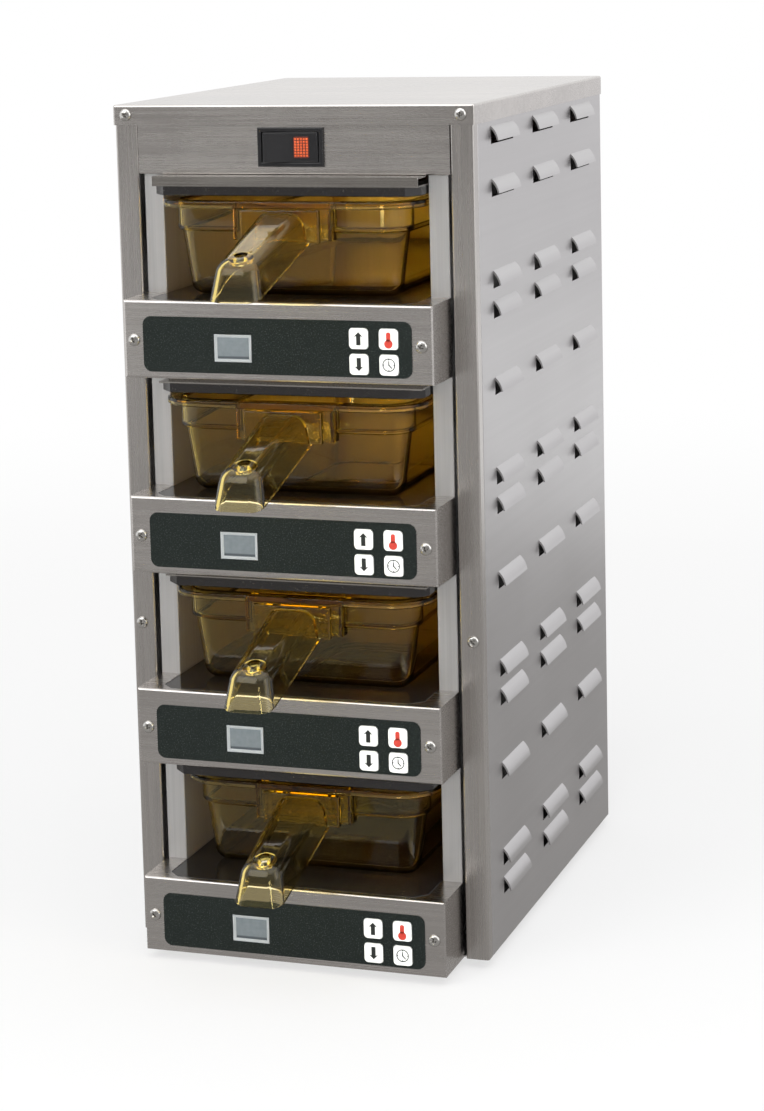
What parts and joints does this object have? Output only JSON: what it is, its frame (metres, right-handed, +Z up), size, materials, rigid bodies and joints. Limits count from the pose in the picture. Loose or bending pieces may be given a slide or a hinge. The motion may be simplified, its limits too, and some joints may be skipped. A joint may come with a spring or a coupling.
{
  "type": "countertop heated cabinet",
  "caption": "Countertop heated holding cabinet, one pan wide, with stacked heated slots, slide-out pans with long handles and a button panel under each slot.",
  "frame": {"origin": "on the surface the cabinet stands on, under the middle of the whole object, handles and cord gland included", "axes": "+X to the right and +Z up for someone facing the pans; +Y from the front to the back"},
  "size_m": [0.2514, 0.4536, 0.5585],
  "materials": {
    "amber_plastic": "clear amber high-heat plastic, polished",
    "button_plastic": "off-white, satin",
    "overlay_film": "black film, fine satin",
    "display_glass": "grey display glass in a light frame",
    "heated_plate": "gloss black hard coat",
    "brushed_steel": "brushed across",
    "post_steel": "brushed upright",
    "liner_steel": "bright, brushed upright",
    "side_steel": "satin",
    "back_steel": "satin",
    "foot_rubber": "matt",
    "screw_steel": "bright zinc",
    "switch_black": "black, moulded",
    "switch_lens": "red neon lens",
    "gland_nylon": "black nylon",
    "circuit_board": "green board",
    "heater_foil": "red silicone over etched foil"
  },
  "bodies": {
    "cabinet": {"back_panel": "back_steel", "base_pan": "back_steel", "bezel_1": "brushed_steel", "bezel_2": "brushed_steel", "bezel_3": "brushed_steel", "bezel_4": "brushed_steel", "ceiling_plate_1": "heated_plate", "ceiling_plate_2": "heated_plate", "ceiling_plate_3": "heated_plate", "ceiling_plate_4": "heated_plate", "control_boards": "circuit_board", "control_overlay_1": "overlay_film", "control_overlay_2": "overlay_film", "control_overlay_3": "overlay_film", "control_overlay_4": "overlay_film", "cord_gland": "gland_nylon", "display_1": "display_glass", "display_2": "display_glass", "display_3": "display_glass", "display_4": "display_glass", "feet": "foot_rubber", "floor_plate_1": "heated_plate", "floor_plate_2": "heated_plate", "floor_plate_3": "heated_plate", "floor_plate_4": "heated_plate", "header_panel": "brushed_steel", "heater_mats": "heater_foil", "left_front_post": "post_steel", "left_side_liner": "liner_steel", "left_side_panel": "side_steel", "panel_screws": "screw_steel", "rear_liner": "liner_steel", "right_front_post": "post_steel", "right_side_liner": "liner_steel", "right_side_panel": "side_steel", "shelf_trays": "liner_steel", "switch_housing": "switch_black", "top_cover": "brushed_steel"},
    "rocker": {"rocker_key": "switch_black", "rocker_lens": "switch_lens"},
    "pan_1": {"pan_1": "amber_plastic"},
    "pan_2": {"pan_2": "amber_plastic"},
    "pan_3": {"pan_3": "amber_plastic"},
    "pan_4": {"pan_4": "amber_plastic"},
    "button_up_1": {"button_up_1": "button_plastic"},
    "button_temperature_1": {"button_temperature_1": "button_plastic"},
    "button_down_1": {"button_down_1": "button_plastic"},
    "button_time_1": {"button_time_1": "button_plastic"},
    "button_up_2": {"button_up_2": "button_plastic"},
    "button_temperature_2": {"button_temperature_2": "button_plastic"},
    "button_down_2": {"button_down_2": "button_plastic"},
    "button_time_2": {"button_time_2": "button_plastic"},
    "button_up_3": {"button_up_3": "button_plastic"},
    "button_temperature_3": {"button_temperature_3": "button_plastic"},
    "button_down_3": {"button_down_3": "button_plastic"},
    "button_time_3": {"button_time_3": "button_plastic"},
    "button_up_4": {"button_up_4": "button_plastic"},
    "button_temperature_4": {"button_temperature_4": "button_plastic"},
    "button_down_4": {"button_down_4": "button_plastic"},
    "button_time_4": {"button_time_4": "button_plastic"}
  },
  "joints": [
    {"name": "main_switch", "type": "hinge", "parent": "cabinet", "child": "rocker", "pos_m": [0, -0.10975, 0.5315], "axis": [0, 0, 1], "range_deg": [-15.36, 0]},
    {"name": "pan_slide_1", "type": "slide", "parent": "cabinet", "child": "pan_1", "axis": [0, -1, 0], "range_m": [-0.0095, 0.3425]},
    {"name": "pan_slide_2", "type": "slide", "parent": "cabinet", "child": "pan_2", "axis": [0, -1, 0], "range_m": [-0.0145, 0.3375]},
    {"name": "pan_slide_3", "type": "slide", "parent": "cabinet", "child": "pan_3", "axis": [0, -1, 0], "range_m": [-0.0085, 0.3435]},
    {"name": "pan_slide_4", "type": "slide", "parent": "cabinet", "child": "pan_4", "axis": [0, -1, 0], "range_m": [-0.0005, 0.3515]},
    {"name": "press_up_1", "type": "slide", "parent": "cabinet", "child": "button_up_1", "axis": [0, 1, 0], "range_m": [0, 0.0005], "stiffness_N_per_m": 600, "springref_m": -0.002},
    {"name": "press_temperature_1", "type": "slide", "parent": "cabinet", "child": "button_temperature_1", "axis": [0, 1, 0], "range_m": [0, 0.0005], "stiffness_N_per_m": 600, "springref_m": -0.002},
    {"name": "press_down_1", "type": "slide", "parent": "cabinet", "child": "button_down_1", "axis": [0, 1, 0], "range_m": [0, 0.0005], "stiffness_N_per_m": 600, "springref_m": -0.002},
    {"name": "press_time_1", "type": "slide", "parent": "cabinet", "child": "button_time_1", "axis": [0, 1, 0], "range_m": [0, 0.0005], "stiffness_N_per_m": 600, "springref_m": -0.002},
    {"name": "press_up_2", "type": "slide", "parent": "cabinet", "child": "button_up_2", "axis": [0, 1, 0], "range_m": [0, 0.0005], "stiffness_N_per_m": 600, "springref_m": -0.002},
    {"name": "press_temperature_2", "type": "slide", "parent": "cabinet", "child": "button_temperature_2", "axis": [0, 1, 0], "range_m": [0, 0.0005], "stiffness_N_per_m": 600, "springref_m": -0.002},
    {"name": "press_down_2", "type": "slide", "parent": "cabinet", "child": "button_down_2", "axis": [0, 1, 0], "range_m": [0, 0.0005], "stiffness_N_per_m": 600, "springref_m": -0.002},
    {"name": "press_time_2", "type": "slide", "parent": "cabinet", "child": "button_time_2", "axis": [0, 1, 0], "range_m": [0, 0.0005], "stiffness_N_per_m": 600, "springref_m": -0.002},
    {"name": "press_up_3", "type": "slide", "parent": "cabinet", "child": "button_up_3", "axis": [0, 1, 0], "range_m": [0, 0.0005], "stiffness_N_per_m": 600, "springref_m": -0.002},
    {"name": "press_temperature_3", "type": "slide", "parent": "cabinet", "child": "button_temperature_3", "axis": [0, 1, 0], "range_m": [0, 0.0005], "stiffness_N_per_m": 600, "springref_m": -0.002},
    {"name": "press_down_3", "type": "slide", "parent": "cabinet", "child": "button_down_3", "axis": [0, 1, 0], "range_m": [0, 0.0005], "stiffness_N_per_m": 600, "springref_m": -0.002},
    {"name": "press_time_3", "type": "slide", "parent": "cabinet", "child": "button_time_3", "axis": [0, 1, 0], "range_m": [0, 0.0005], "stiffness_N_per_m": 600, "springref_m": -0.002},
    {"name": "press_up_4", "type": "slide", "parent": "cabinet", "child": "button_up_4", "axis": [0, 1, 0], "range_m": [0, 0.0005], "stiffness_N_per_m": 600, "springref_m": -0.002},
    {"name": "press_temperature_4", "type": "slide", "parent": "cabinet", "child": "button_temperature_4", "axis": [0, 1, 0], "range_m": [0, 0.0005], "stiffness_N_per_m": 600, "springref_m": -0.002},
    {"name": "press_down_4", "type": "slide", "parent": "cabinet", "child": "button_down_4", "axis": [0, 1, 0], "range_m": [0, 0.0005], "stiffness_N_per_m": 600, "springref_m": -0.002},
    {"name": "press_time_4", "type": "slide", "parent": "cabinet", "child": "button_time_4", "axis": [0, 1, 0], "range_m": [0, 0.0005], "stiffness_N_per_m": 600, "springref_m": -0.002}
  ]
}
